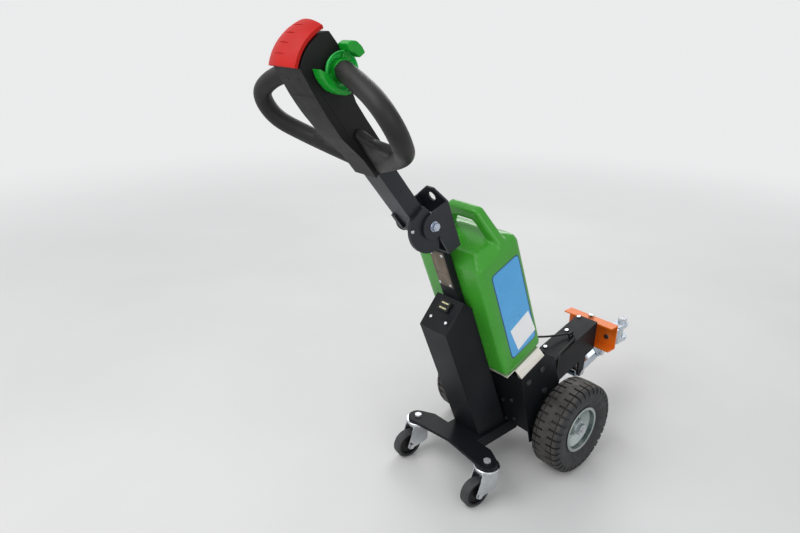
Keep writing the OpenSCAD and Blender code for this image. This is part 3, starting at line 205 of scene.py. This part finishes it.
# Each finish: two tones of its colour, the range of its roughness and what sets it apart
FINISHES = {
    "rim": dict(dark=(0.27, 0.33, 0.325), light=(0.46, 0.50, 0.485), rough=(0.2, 0.3), metal=1, cloud=9,
                relief=0),
    "zinc": dict(dark=(0.50, 0.53, 0.56), light=(0.66, 0.68, 0.70), rough=(0.2, 0.3), metal=1, cloud=18,
                 relief=0),
    "shaft": dict(dark=(0.48, 0.49, 0.5), light=(0.62, 0.63, 0.65), rough=(0.24, 0.34), metal=1, cloud=40,
                  relief=0.05, stretch=(1, 6, 1)),
    "caster_rubber": dict(dark=(0.034, 0.035, 0.038), light=(0.060, 0.061, 0.064), rough=(0.5, 0.62),
                          cloud=30, relief=0.06, mirror=0.3),
    "black_plastic": dict(dark=(0.009, 0.009, 0.010), light=(0.014, 0.014, 0.015), rough=(0.42, 0.54),
                          relief=0.08, mirror=0.2),
    "black_paint": dict(dark=(0.0075, 0.0082, 0.0100), light=(0.011, 0.012, 0.0145), rough=(0.40, 0.48),
                        cloud=6, grain=900, relief=0.05, depth=0.0001, mirror=0.14),
    "column_paint": dict(dark=(0.015, 0.016, 0.021), light=(0.022, 0.0235, 0.030), rough=(0.36, 0.44),
                         cloud=6, grain=900, relief=0.05, depth=0.0001, mirror=0.3),
    "cast_grey": dict(dark=(0.24, 0.25, 0.26), light=(0.36, 0.37, 0.38), rough=(0.5, 0.64), metal=0.6,
                      grain=450),
    "motor_grey": dict(dark=(0.014, 0.015, 0.016), light=(0.024, 0.025, 0.027), rough=(0.4, 0.52),
                       grain=500, relief=0.1, mirror=0.3),
    "bronze_plate": dict(dark=(0.115, 0.088, 0.060), light=(0.20, 0.16, 0.115), rough=(0.3, 0.42),
                         metal=0.6, cloud=30, relief=0.03, stretch=(1, 1, 0.3)),
    "stainless": dict(dark=(0.72, 0.69, 0.62), light=(0.86, 0.83, 0.77), rough=(0.26, 0.38), metal=0.7,
                      cloud=20, relief=0.03, stretch=(0.15, 3, 1)),
    "battery_green": dict(dark=(0.040, 0.30, 0.020), light=(0.052, 0.35, 0.027), rough=(0.24, 0.33),
                          coat=0.2, cloud=5, grain=260, relief=0.03, mirror=0.3),
    "orange": dict(dark=(0.82, 0.165, 0.010), light=(0.90, 0.195, 0.016), rough=(0.28, 0.38), coat=0.2,
                   cloud=12, grain=300, relief=0.05, mirror=0.4),
    "drawbar_zinc": dict(dark=(0.40, 0.47, 0.54), light=(0.60, 0.65, 0.71), rough=(0.22, 0.34), metal=1,
                         cloud=22, relief=0),
    "cable_black": dict(dark=(0.009, 0.009, 0.009), light=(0.016, 0.016, 0.016), rough=(0.36, 0.46),
                        cloud=60, relief=0.05, mirror=0.3),
    "bush_bronze": dict(dark=(0.4, 0.27, 0.1), light=(0.6, 0.43, 0.19), rough=(0.3, 0.42), metal=1,
                        cloud=60, relief=0.02),
    "head_plastic": dict(dark=(0.0095, 0.0095, 0.0100), light=(0.0140, 0.0138, 0.0145), rough=(0.46, 0.56),
                         cloud=16, grain=1400, relief=0.12, mirror=0.2),
    "grip_rubber": dict(dark=(0.014, 0.013, 0.0128), light=(0.021, 0.0195, 0.019), rough=(0.44, 0.54),
                        grain=1600, relief=0.1, mirror=0.28),
    "green_plastic": dict(dark=(0.004, 0.28, 0.016), light=(0.008, 0.36, 0.028), rough=(0.24, 0.32),
                          coat=0.15, cloud=10, grain=200, relief=0.02, mirror=0.25),
    # painted highlight: a lighter copy of the wings' green plastic, standing in for the light on the inside of the
    # dished flange
    "painted_lit_green_bowl": dict(dark=(0.022, 0.52, 0.070), light=(0.045, 0.66, 0.13), rough=(0.14, 0.2), coat=0.8,
                       cloud=60, grain=200, relief=0.02),
    "red_plastic": dict(dark=(0.48, 0.009, 0.006), light=(0.56, 0.014, 0.009), rough=(0.42, 0.52),
                        cloud=12, grain=900, relief=0.06, mirror=0.18),
    "label_blue": dict(dark=(0.058, 0.38, 0.77), light=(0.070, 0.42, 0.83), rough=(0.24, 0.34), coat=0.25,
                       cloud=8, grain=150, relief=0.02),
    "label_edge": dict(dark=(0.010, 0.045, 0.20), light=(0.016, 0.06, 0.26), rough=(0.2, 0.3), coat=0.3),
    "paper": dict(dark=(0.93, 0.94, 0.95), light=(0.96, 0.97, 0.98), rough=(0.4, 0.55), cloud=25,
                  grain=600, relief=0.05),
    "light_bar": dict(dark=(0.42, 0.38, 0.16), light=(0.72, 0.68, 0.40), rough=(0.2, 0.3), coat=0.5,
                      cloud=160),
    "dull_bolt": dict(dark=(0.05, 0.052, 0.056), light=(0.13, 0.135, 0.14), rough=(0.3, 0.42), metal=0.8,
                      cloud=60, relief=0),
    "bright_bolt": dict(dark=(0.56, 0.58, 0.60), light=(0.70, 0.72, 0.74), rough=(0.3, 0.42), metal=0.5,
                        cloud=40, relief=0),
    "blue_zinc": dict(dark=(0.40, 0.45, 0.56), light=(0.58, 0.63, 0.74), rough=(0.24, 0.34), metal=0.8,
                      cloud=60, relief=0),
    "dark_line": dict(dark=(0.003, 0.003, 0.003), light=(0.006, 0.006, 0.006), rough=(0.6, 0.7)),
    "engraving": dict(dark=(0.05, 0.038, 0.026), light=(0.08, 0.062, 0.044), rough=(0.4, 0.5), metal=0.5),
}

# The tyre: where its rolled tread starts, and how fast the dust comes in past it
TREAD_RADIUS = 0.1245
DUST_PER_METRE = 420
GRAIN_SHARE = 0.25
# The moulded rings of its sidewall, by radius, and how far out the ramp that holds them goes
RINGS = (
    dict(centre=0.0745, half=0.0016, height=1),
    dict(centre=0.0805, half=0.0008, height=0.6),
    dict(centre=0.1045, half=0.0009, height=0.8),
    dict(centre=0.1085, half=0.0009, height=0.8),
)
RINGS_REACH = 0.14
RINGS_DEPTH = 0.0012


def sidewall_rings(tree, radius):
    """Height of the moulded rings at each radius."""
    node = tree.nodes.new("ShaderNodeValToRGB")
    node.color_ramp.interpolation = "EASE"
    node.color_ramp.elements[0].position = 0
    node.color_ramp.elements[1].position = 1
    for element in node.color_ramp.elements:
        element.color = (*grey(0), 1)
    for ring in RINGS:
        for steps, height in ((-2, 0), (-1, ring["height"]), (1, ring["height"]), (2, 0)):
            radius_there = ring["centre"] + steps * ring["half"]
            element = node.color_ramp.elements.new(radius_there / RINGS_REACH)
            element.color = (*grey(height), 1)
    tree.links.new(arithmetic(tree, "DIVIDE", radius, RINGS_REACH), node.inputs["Fac"])
    return node.outputs["Color"]


def tyre_material():
    """Rubber: dusty where the tread rolls, black in the slots, with moulded rings on the sidewall."""
    material, tree, shader = new_material("tyre")
    place = tree.nodes.new("ShaderNodeTexCoord")
    middle = vector_step(tree, "SUBTRACT", place.outputs["Object"], (AXLE_X, 0, AXLE_Z))
    flat = vector_step(tree, "MULTIPLY", middle.outputs["Vector"], (1, 0, 1))
    radius = vector_step(tree, "LENGTH", flat.outputs["Vector"]).outputs["Value"]
    rubber = ramp(tree, noise(tree, scale=22), low=(0.016, 0.0165, 0.018), high=(0.026, 0.0265, 0.028))
    clouds = noise(tree, scale=38, detail=6)
    dust = ramp(tree, clouds, low=(0.034, 0.031, 0.028), high=(0.064, 0.058, 0.053))
    past_tread = arithmetic(tree, "SUBTRACT", radius, TREAD_RADIUS)
    rolled = arithmetic(tree, "MULTIPLY", past_tread, DUST_PER_METRE)
    worn = ramp(tree, rolled, low=grey(0), high=grey(1), start=0, end=1)
    tree.links.new(mix_colours(tree, worn, rubber, dust), shader.inputs["Base Color"])
    gloss = ramp(tree, noise(tree, scale=60, detail=5), low=grey(0.55), high=grey(0.75))
    tree.links.new(gloss, shader.inputs["Roughness"])
    rings = sidewall_rings(tree, radius)
    grain = arithmetic(tree, "MULTIPLY", noise(tree, scale=420, detail=3), GRAIN_SHARE)
    bump(tree, shader, arithmetic(tree, "ADD", rings, grain), strength=0.7, depth=RINGS_DEPTH)
    return material


def make_materials():
    materials = {"tyre": tyre_material()}
    for name, finish in FINISHES.items():
        materials[name] = finish_material(name, **finish)
    return materials


# Nodes whose finish isn't the one of their slot in the record
OTHER_FINISHES = {
    "head_screws": "dark_line",
    "chassis_bolts": "dull_bolt",
    "swivel_bolts": "bright_bolt",
    "mast_bracket": "column_paint",
    "tiller_clevis": "column_paint",
    "tiller_tube": "column_paint",
}


def dress_nodes(materials):
    for entry in frame["record"]["subparts"]:
        name = OTHER_FINISHES.get(entry["node"], entry["material_slot"])
        mesh = NODES[entry["node"]].data
        mesh.materials.clear()
        mesh.materials.append(materials[name])


# Rounded edges on the frame's own meshes, as folded, cast or moulded
EDGE_RADII = {
    0.0006: ["tyre_left", "tyre_right", "rim_left", "rim_right", "wheel_fasteners_left",
             "wheel_fasteners_right", "chassis_bolts", "hitch_bolts", "drawbar_bolts", "swivel_bolts",
             "caster_axle_left", "caster_axle_right", "small_screws", "charge_gauge", "stop_screw"],
    0.0009: ["side_plate_left", "side_plate_right", "mast_bracket", "drawbar_hanger", "caster_fork_left",
             "caster_fork_right", "battery_tray", "tow_pin", "cable_fittings"],
    0.0016: ["rear_panel", "front_panel", "deck_plate", "keel", "mast", "push_channel", "tow_jaw",
             "drawbar", "cover", "tiller_tube", "tiller_clevis"],
    0.0030: ["tow_arm", "head_cover", "head_body"],
}
# Wider edges than this get a third segment
WIDE_EDGE = 0.0018
# Flat faces with several openings stay in triangles
UNMERGED = ("charge_gauge", "cover", "tiller_clevis")
WELD_GAP = 0.00002
RELAX_SHARE = 0.5


def clear_corners(node):
    """Takes the stored normals and marks away, so that the modifiers make their own."""
    obj = NODES[node]
    mesh = obj.data
    for name in ("custom_normal", "sharp_face", "sharp_edge"):
        if name in mesh.attributes:
            mesh.attributes.remove(mesh.attributes[name])
    mesh.shade_smooth()
    weld = obj.modifiers.new("Weld", "WELD")
    weld.merge_threshold = WELD_GAP
    return obj


def merge_flats(obj, angle):
    flat = obj.modifiers.new("Flat", "DECIMATE")
    flat.decimate_type = "DISSOLVE"
    flat.angle_limit = math.radians(angle)


def soften(node, width, segments=2, angle=30.0, merge=True):
    """Joins the mesh's split corners and rounds every edge sharper than the angle.

    With merge, the triangles of a flat face are made into one face first.
    """
    obj = clear_corners(node)
    if merge:
        merge_flats(obj, angle=0.6)
    bevel = obj.modifiers.new("Bevel", "BEVEL")
    bevel.width = width
    bevel.segments = segments
    bevel.limit_method = "ANGLE"
    bevel.angle_limit = math.radians(angle)
    bevel.miter_outer = "MITER_ARC"
    normals = obj.modifiers.new("Normals", "WEIGHTED_NORMAL")
    normals.keep_sharp = True


def smooth_skin(node):
    """Joins the facets of a swept piece and rounds them off."""
    obj = clear_corners(node)
    skin = obj.modifiers.new("Skin", "SUBSURF")
    skin.levels = 1
    skin.render_levels = 1


def mould(node, cell, rounds):
    """Rounds every corner of a moulded piece as a whole, and leaves its flat faces flat."""
    obj = clear_corners(node)
    skin = obj.modifiers.new("Skin", "REMESH")
    skin.mode = "VOXEL"
    skin.voxel_size = cell
    skin.use_smooth_shade = True
    relax = obj.modifiers.new("Relax", "SMOOTH")
    relax.factor = RELAX_SHARE
    relax.iterations = rounds
    merge_flats(obj, angle=1)


def round_edges():
    for width, nodes in EDGE_RADII.items():
        for node in nodes:
            soften(node, width, segments=3 if width > WIDE_EDGE else 2, merge=node not in UNMERGED)
    mould("battery", cell=0.003, rounds=16)
    mould("throttle_wings", cell=0.0011, rounds=18)
    soften("belly_button", width=0.0035, segments=4, angle=35)
    smooth_skin("cable")
    smooth_skin("grips")


def squash_spring():
    """Gives the belly button's spring a mesh of its own."""
    spring = NODES["button_spring"]
    bpy.context.view_layer.update()
    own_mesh(spring)


# Outlines and meshes of the small pieces
def rounded_rect(x0, x1, y0, y1, radius, steps=6):
    """The corners of a rectangle with round corners, in turn."""
    corners = (
        (x1 - radius, y1 - radius, 0),
        (x0 + radius, y1 - radius, 90),
        (x0 + radius, y0 + radius, 180),
        (x1 - radius, y0 + radius, 270),
    )
    points = []
    for x, y, start in corners:
        for i in range(steps + 1):
            angle = math.radians(start + 90 * i / steps)
            points.append((x + radius * math.cos(angle), y + radius * math.sin(angle)))
    return points


def circle(x, y, radius, steps=24):
    points = []
    for i in range(steps):
        angle = math.tau * i / steps
        points.append((x + radius * math.cos(angle), y + radius * math.sin(angle)))
    return points


def add_plate(data, outline, thick, matrix):
    """A flat plate with that outline in the matrix's XY plane, standing up by its thickness."""
    low = [data.verts.new(matrix @ Vector((x, y, 0))) for x, y in outline]
    high = [data.verts.new(matrix @ Vector((x, y, thick))) for x, y in outline]
    data.faces.new(low)
    data.faces.new(high)
    for i in range(len(outline)):
        j = (i + 1) % len(outline)
        data.faces.new((low[i], low[j], high[j], high[i]))


def finished_mesh(name, data, material):
    """The mesh that data holds, with its faces turned outwards, as a new object of the scene."""
    bmesh.ops.recalc_face_normals(data, faces=data.faces)
    mesh = bpy.data.meshes.new(name)
    data.to_mesh(mesh)
    data.free()
    mesh.materials.append(material)
    obj = bpy.data.objects.new(name, mesh)
    bpy.context.scene.collection.objects.link(obj)
    return obj


def add_piece(name, data, material, body):
    """A piece of the machine, in the row frame, that rides on a body."""
    obj = finished_mesh(name, data, material)
    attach(obj, body)
    return obj


def plates_piece(name, plates, material, body):
    """A piece of flat plates, each given as its outline, its thickness and the face that it stands on."""
    data = bmesh.new()
    for outline, thick, face in plates:
        add_plate(data, outline, thick, face)
    return add_piece(name, data, material, body)


def raised(height):
    return Matrix.Translation((0, 0, height))


# Labels and marks are films of this thickness, and engraved lines are thinner ones
FILM = 0.0003
ENGRAVED = 0.00015


def battery_side():
    """On the battery's right face: local X ahead of the lean line, local Y up along it, local Z outward."""
    low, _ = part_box("battery")
    return leaning_frame() @ facing((0, low.y, 0), across=(1, 0, 0), up=(0, 0, 1))


def battery_labels(materials):
    """A blue label in a dark edge, with a tilted white sticker over its foot."""
    rear, front, low, high = -0.030, 0.069, 0.411, 0.687
    edge_w = 0.003
    edge_round = 0.012
    field_round = 0.010
    sticker_at = (0.029, 0.466, 2 * FILM)
    sticker_half_w, sticker_half_h = 0.037, 0.038
    sticker_round = 0.001
    sticker_turn = math.radians(8)

    face = battery_side()
    edge = rounded_rect(rear, front, low, high, edge_round)
    field = rounded_rect(rear + edge_w, front - edge_w, low + edge_w, high - edge_w, field_round)
    sticker = rounded_rect(-sticker_half_w, sticker_half_w, -sticker_half_h, sticker_half_h,
                           sticker_round, steps=2)
    sticker_face = face @ Matrix.Translation(sticker_at) @ Matrix.Rotation(sticker_turn, 4, "Z")
    pieces = (
        ("battery_label_edge", edge, face, "label_edge"),
        ("battery_label", field, face @ raised(FILM), "label_blue"),
        ("battery_sticker", sticker, sticker_face, "paper"),
    )
    for name, outline, place, finish in pieces:
        plates_piece(name, [(outline, FILM, place)], materials[finish], "battery")


def gauge_lights(materials):
    """Two light bars that lie in the gauge's recesses."""
    gauge_along = 0.0647
    gauge_top = 0.008
    bar_step = 0.0065
    bar_half_w, bar_half_l, bar_round = 0.0019, 0.0108, 0.0008
    recess = 0.0009
    below_top = 0.0001

    outline = rounded_rect(-bar_half_w, bar_half_w, -bar_half_l, bar_half_l, bar_round, steps=3)
    bars = []
    for side in (-1, 1):
        seat = (gauge_along + side * bar_step, 0, gauge_top - recess)
        face = cover_top_frame() @ facing(seat, across=(1, 0, 0), up=(0, 1, 0))
        bars.append((outline, recess - below_top, face))
    plates_piece("gauge_light_bars", bars, materials["light_bar"], "chassis")


def type_plate_lines(materials):
    """The plate's engraved border and the rule between its two fields; it carries no writing."""
    plate_rear = -0.081
    low, divide, high = 0.663, 0.70, 0.7605
    margin = 0.0035
    half_line = 0.0005
    corner_up = 0.008
    corner_across = 0.006
    _, plate_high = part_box("type_plate")
    half_w = plate_high.y - margin
    short_half = half_w - corner_across
    face = leaning_frame() @ facing((plate_rear, 0, 0), across=(0, -1, 0), up=(0, 0, 1))

    def rule(x0, x1, y0, y1):
        outline = rounded_rect(x0, x1, y0, y1, half_line / 2, steps=2)
        return outline, ENGRAVED, face

    rules = [rule(-half_w, half_w, divide - half_line, divide + half_line)]
    for across in (-half_w, half_w):
        rules.append(rule(across - half_line, across + half_line, low + corner_up, high - corner_up))
    for up in (low, high):
        rules.append(rule(-short_half, short_half, up - half_line, up + half_line))
    plates_piece("type_plate_rules", rules, materials["engraving"], "chassis")


def tiller_marks(materials):
    """Small plugged holes on the tube's right side, and the joint line across the head's cover."""
    plug_ups = (0.0624, 0.118)
    plug_back = -0.009
    plug_radius = 0.0026
    cover_back = -0.0489
    seam_half = 0.034
    seam_low, seam_high = 0.3985, 0.3997
    seam_round = 0.0004

    tube_low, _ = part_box("tiller_tube")
    side = tiller_frame() @ facing((0, tube_low.y, 0), across=(1, 0, 0), up=(0, 0, 1))
    plugs = [(circle(plug_back, up, plug_radius), FILM, side) for up in plug_ups]
    back = tiller_frame() @ facing((cover_back, 0, 0), across=(0, -1, 0), up=(0, 0, 1))
    line = rounded_rect(-seam_half, seam_half, seam_low, seam_high, seam_round, steps=2)
    plates_piece("tube_plugs", plugs, materials["dark_line"], "tiller")
    plates_piece("head_seam", [(line, FILM, back)], materials["dark_line"], "tiller")


def pivot_bolt(materials):
    """The tiller's pivot bolt, with a washer and a hexagon on each ear of the bracket."""
    shank_radius = 0.0079
    washer_radius, washer_thick = 0.0118, 0.002
    head_radius, head_thick = 0.0098, 0.0075
    tip_radius, tip_thick = 0.0055, 0.0012
    edge_round = 0.0007

    low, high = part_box("mast_bracket")
    plates = []
    for seat, across in ((low.y, (1, 0, 0)), (high.y, (-1, 0, 0))):
        ear = facing((PIVOT.x, seat, PIVOT.z), across, up=(0, 0, 1))
        plates.append((circle(0, 0, washer_radius, steps=40), washer_thick, ear))
        plates.append((circle(0, 0, head_radius, steps=6), head_thick, ear @ raised(washer_thick)))
        plates.append((circle(0, 0, tip_radius), tip_thick, ear @ raised(washer_thick + head_thick)))
    through = facing((PIVOT.x, high.y, PIVOT.z), across=(1, 0, 0), up=(0, 0, 1))
    plates.append((circle(0, 0, shank_radius, steps=32), high.y - low.y, through))
    piece = plates_piece("pivot_bolt_dressed", plates, materials["blue_zinc"], "chassis")
    bevel = piece.modifiers.new("Bevel", "BEVEL")
    bevel.width = edge_round
    bevel.segments = 2
    bevel.limit_method = "ANGLE"
    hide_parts("pivot_bolt")


# The dished flange's section: radius and distance from the machine's middle plane, in turn round its wall
FLANGE_SECTION = (
    (0.0195, 0.0440),
    (0.0245, 0.0443),
    (0.0290, 0.0468),
    (0.0318, 0.0515),
    (0.0332, 0.0578),
    (0.0327, 0.0585),
    (0.0320, 0.0580),
    (0.0304, 0.0523),
    (0.0278, 0.0487),
    (0.0240, 0.0467),
    (0.0195, 0.0463),
)
FLANGE_STEPS = 64


def throttle_bowls(materials):
    """The dished flange round each of the throttle's hubs, open towards the grip."""
    centre = Vector(JOINTS["throttle_turn"]["pos_m"])
    data = bmesh.new()
    for side in (-1, 1):
        rings = []
        for radius, out in FLANGE_SECTION:
            places = [Vector((x, side * out, z)) for x, z in circle(0, 0, radius, FLANGE_STEPS)]
            rings.append([data.verts.new(centre + place) for place in places])
        for first, second in zip(rings, rings[1:] + rings[:1]):
            for i in range(FLANGE_STEPS):
                j = (i + 1) % FLANGE_STEPS
                data.faces.new((first[i], first[j], second[j], second[i]))
    # the flange wears the lighter copy of the wings' green, a painted highlight
    piece = add_piece("throttle_bowls", data, materials["painted_lit_green_bowl"], "throttle")
    piece.data.shade_smooth()


# Camera, floor and light
BACKGROUND = (0.83, 0.835, 0.84, 1)
SKY = (0.88, 0.90, 0.93, 1)
SKY_STRENGTH = 0.6
FLOOR_FINISH = dict(dark=(0.70, 0.695, 0.685), light=(0.74, 0.735, 0.725), rough=(0.6, 0.75), cloud=1.2,
                    grain=60, relief=0.05)
FLOOR_RADIUS = 14
FLOOR_SIDES = 48
FLOOR_THICK = 0.02
FADE_START = 0.9
FADE_END = 5.0
LAMPS = {
    "key": dict(at=(-2.2, 0.6, 2.9), target=(0, 0, 0.5), size=(2.4, 2.0), power=50),
    "fill": dict(at=(-1.5, -2.8, 1.9), target=(0, 0, 0.5), size=(2.2, 1.6), power=22),
    "rim_light": dict(at=(2.2, 1.6, 2.4), target=(0, 0, 0.6), size=(1.8, 1.4), power=30),
}


def make_camera():
    data = bpy.data.cameras.new("camera")
    data.sensor_width = SENSOR_MM
    data.lens = FOCAL_PX * SENSOR_MM / PHOTO_W_PX
    data.clip_end = CAMERA_REACH
    level_share = math.cos(CAMERA_PITCH)
    ahead = Vector((math.cos(CAMERA_YAW) * level_share, math.sin(CAMERA_YAW) * level_share,
                    -math.sin(CAMERA_PITCH)))
    level = Vector((math.sin(CAMERA_YAW), -math.cos(CAMERA_YAW), 0))
    up = level.cross(ahead)
    right = level * math.cos(CAMERA_ROLL) + up * math.sin(CAMERA_ROLL)
    top = up * math.cos(CAMERA_ROLL) - level * math.sin(CAMERA_ROLL)
    turn = Matrix((right, top, -ahead)).transposed().to_4x4()
    camera = bpy.data.objects.new("camera", data)
    bpy.context.scene.collection.objects.link(camera)
    camera.matrix_world = Matrix.Translation(CAMERA_AT) @ turn
    bpy.context.scene.camera = camera


def area_light(name, at, target, size, power):
    data = bpy.data.lights.new(name, "AREA")
    data.shape = "RECTANGLE"
    data.size, data.size_y = size
    data.energy = power
    lamp = bpy.data.objects.new(name, data)
    bpy.context.scene.collection.objects.link(lamp)
    direction = Vector(target) - Vector(at)
    lamp.rotation_euler = direction.to_track_quat("-Z", "Y").to_euler()
    lamp.location = at


def seen_ray(tree):
    """One where the ray comes from the camera, from a gloss or through glass."""
    path = tree.nodes.new("ShaderNodeLightPath")
    sharp = arithmetic(tree, "MAXIMUM", path.outputs["Is Camera Ray"], path.outputs["Is Glossy Ray"])
    return arithmetic(tree, "MAXIMUM", sharp, path.outputs["Is Transmission Ray"])


def mix_shaders(tree, factor, first, second, output):
    mix = tree.nodes.new("ShaderNodeMixShader")
    tree.links.new(factor, mix.inputs["Fac"])
    tree.links.new(first, mix.inputs[1])
    tree.links.new(second, mix.inputs[2])
    tree.links.new(mix.outputs["Shader"], output.inputs["Surface"])


def make_world():
    """A pale sky that lights the scene, and the background's colour for seen rays."""
    world = bpy.data.worlds.new("world")
    world.use_nodes = True
    tree = world.node_tree
    sky = tree.nodes["Background"]
    sky.inputs["Color"].default_value = SKY
    sky.inputs["Strength"].default_value = SKY_STRENGTH
    pale = tree.nodes.new("ShaderNodeBackground")
    pale.inputs["Color"].default_value = BACKGROUND
    pale.inputs["Strength"].default_value = 1.0
    mix_shaders(tree, seen_ray(tree), sky.outputs["Background"], pale.outputs["Background"],
                tree.nodes["World Output"])
    bpy.context.scene.world = world


def floor_material():
    """Pale near the machine, and for seen rays fading into the background's colour further out."""
    material = finish_material("floor", **FLOOR_FINISH)
    tree = material.node_tree
    place = tree.nodes.new("ShaderNodeTexCoord")
    length = vector_step(tree, "LENGTH", place.outputs["Object"])
    reach = tree.nodes.new("ShaderNodeMapRange")
    reach.interpolation_type = "SMOOTHSTEP"
    reach.inputs["From Min"].default_value = FADE_START
    reach.inputs["From Max"].default_value = FADE_END
    tree.links.new(length.outputs["Value"], reach.inputs["Value"])
    factor = arithmetic(tree, "MULTIPLY", reach.outputs["Result"], seen_ray(tree))
    glow = tree.nodes.new("ShaderNodeEmission")
    glow.inputs["Color"].default_value = BACKGROUND
    mix_shaders(tree, factor, tree.nodes["Principled BSDF"].outputs["BSDF"], glow.outputs["Emission"],
                tree.nodes["Material Output"])
    return material


def make_floor():
    data = bmesh.new()
    add_plate(data, circle(0, 0, FLOOR_RADIUS, FLOOR_SIDES), -FLOOR_THICK, Matrix.Identity(4))
    floor = finished_mesh("floor", data, floor_material())


def make_studio():
    bpy.context.scene.view_settings.view_transform = "Standard"
    make_world()
    make_floor()
    for name, lamp in LAMPS.items():
        area_light(name, **lamp)


def main():
    materials = make_materials()
    dress_nodes(materials)
    round_edges()
    squash_spring()
    battery_labels(materials)
    gauge_lights(materials)
    type_plate_lines(materials)
    tiller_marks(materials)
    pivot_bolt(materials)
    throttle_bowls(materials)
    make_camera()
    make_studio()


main()
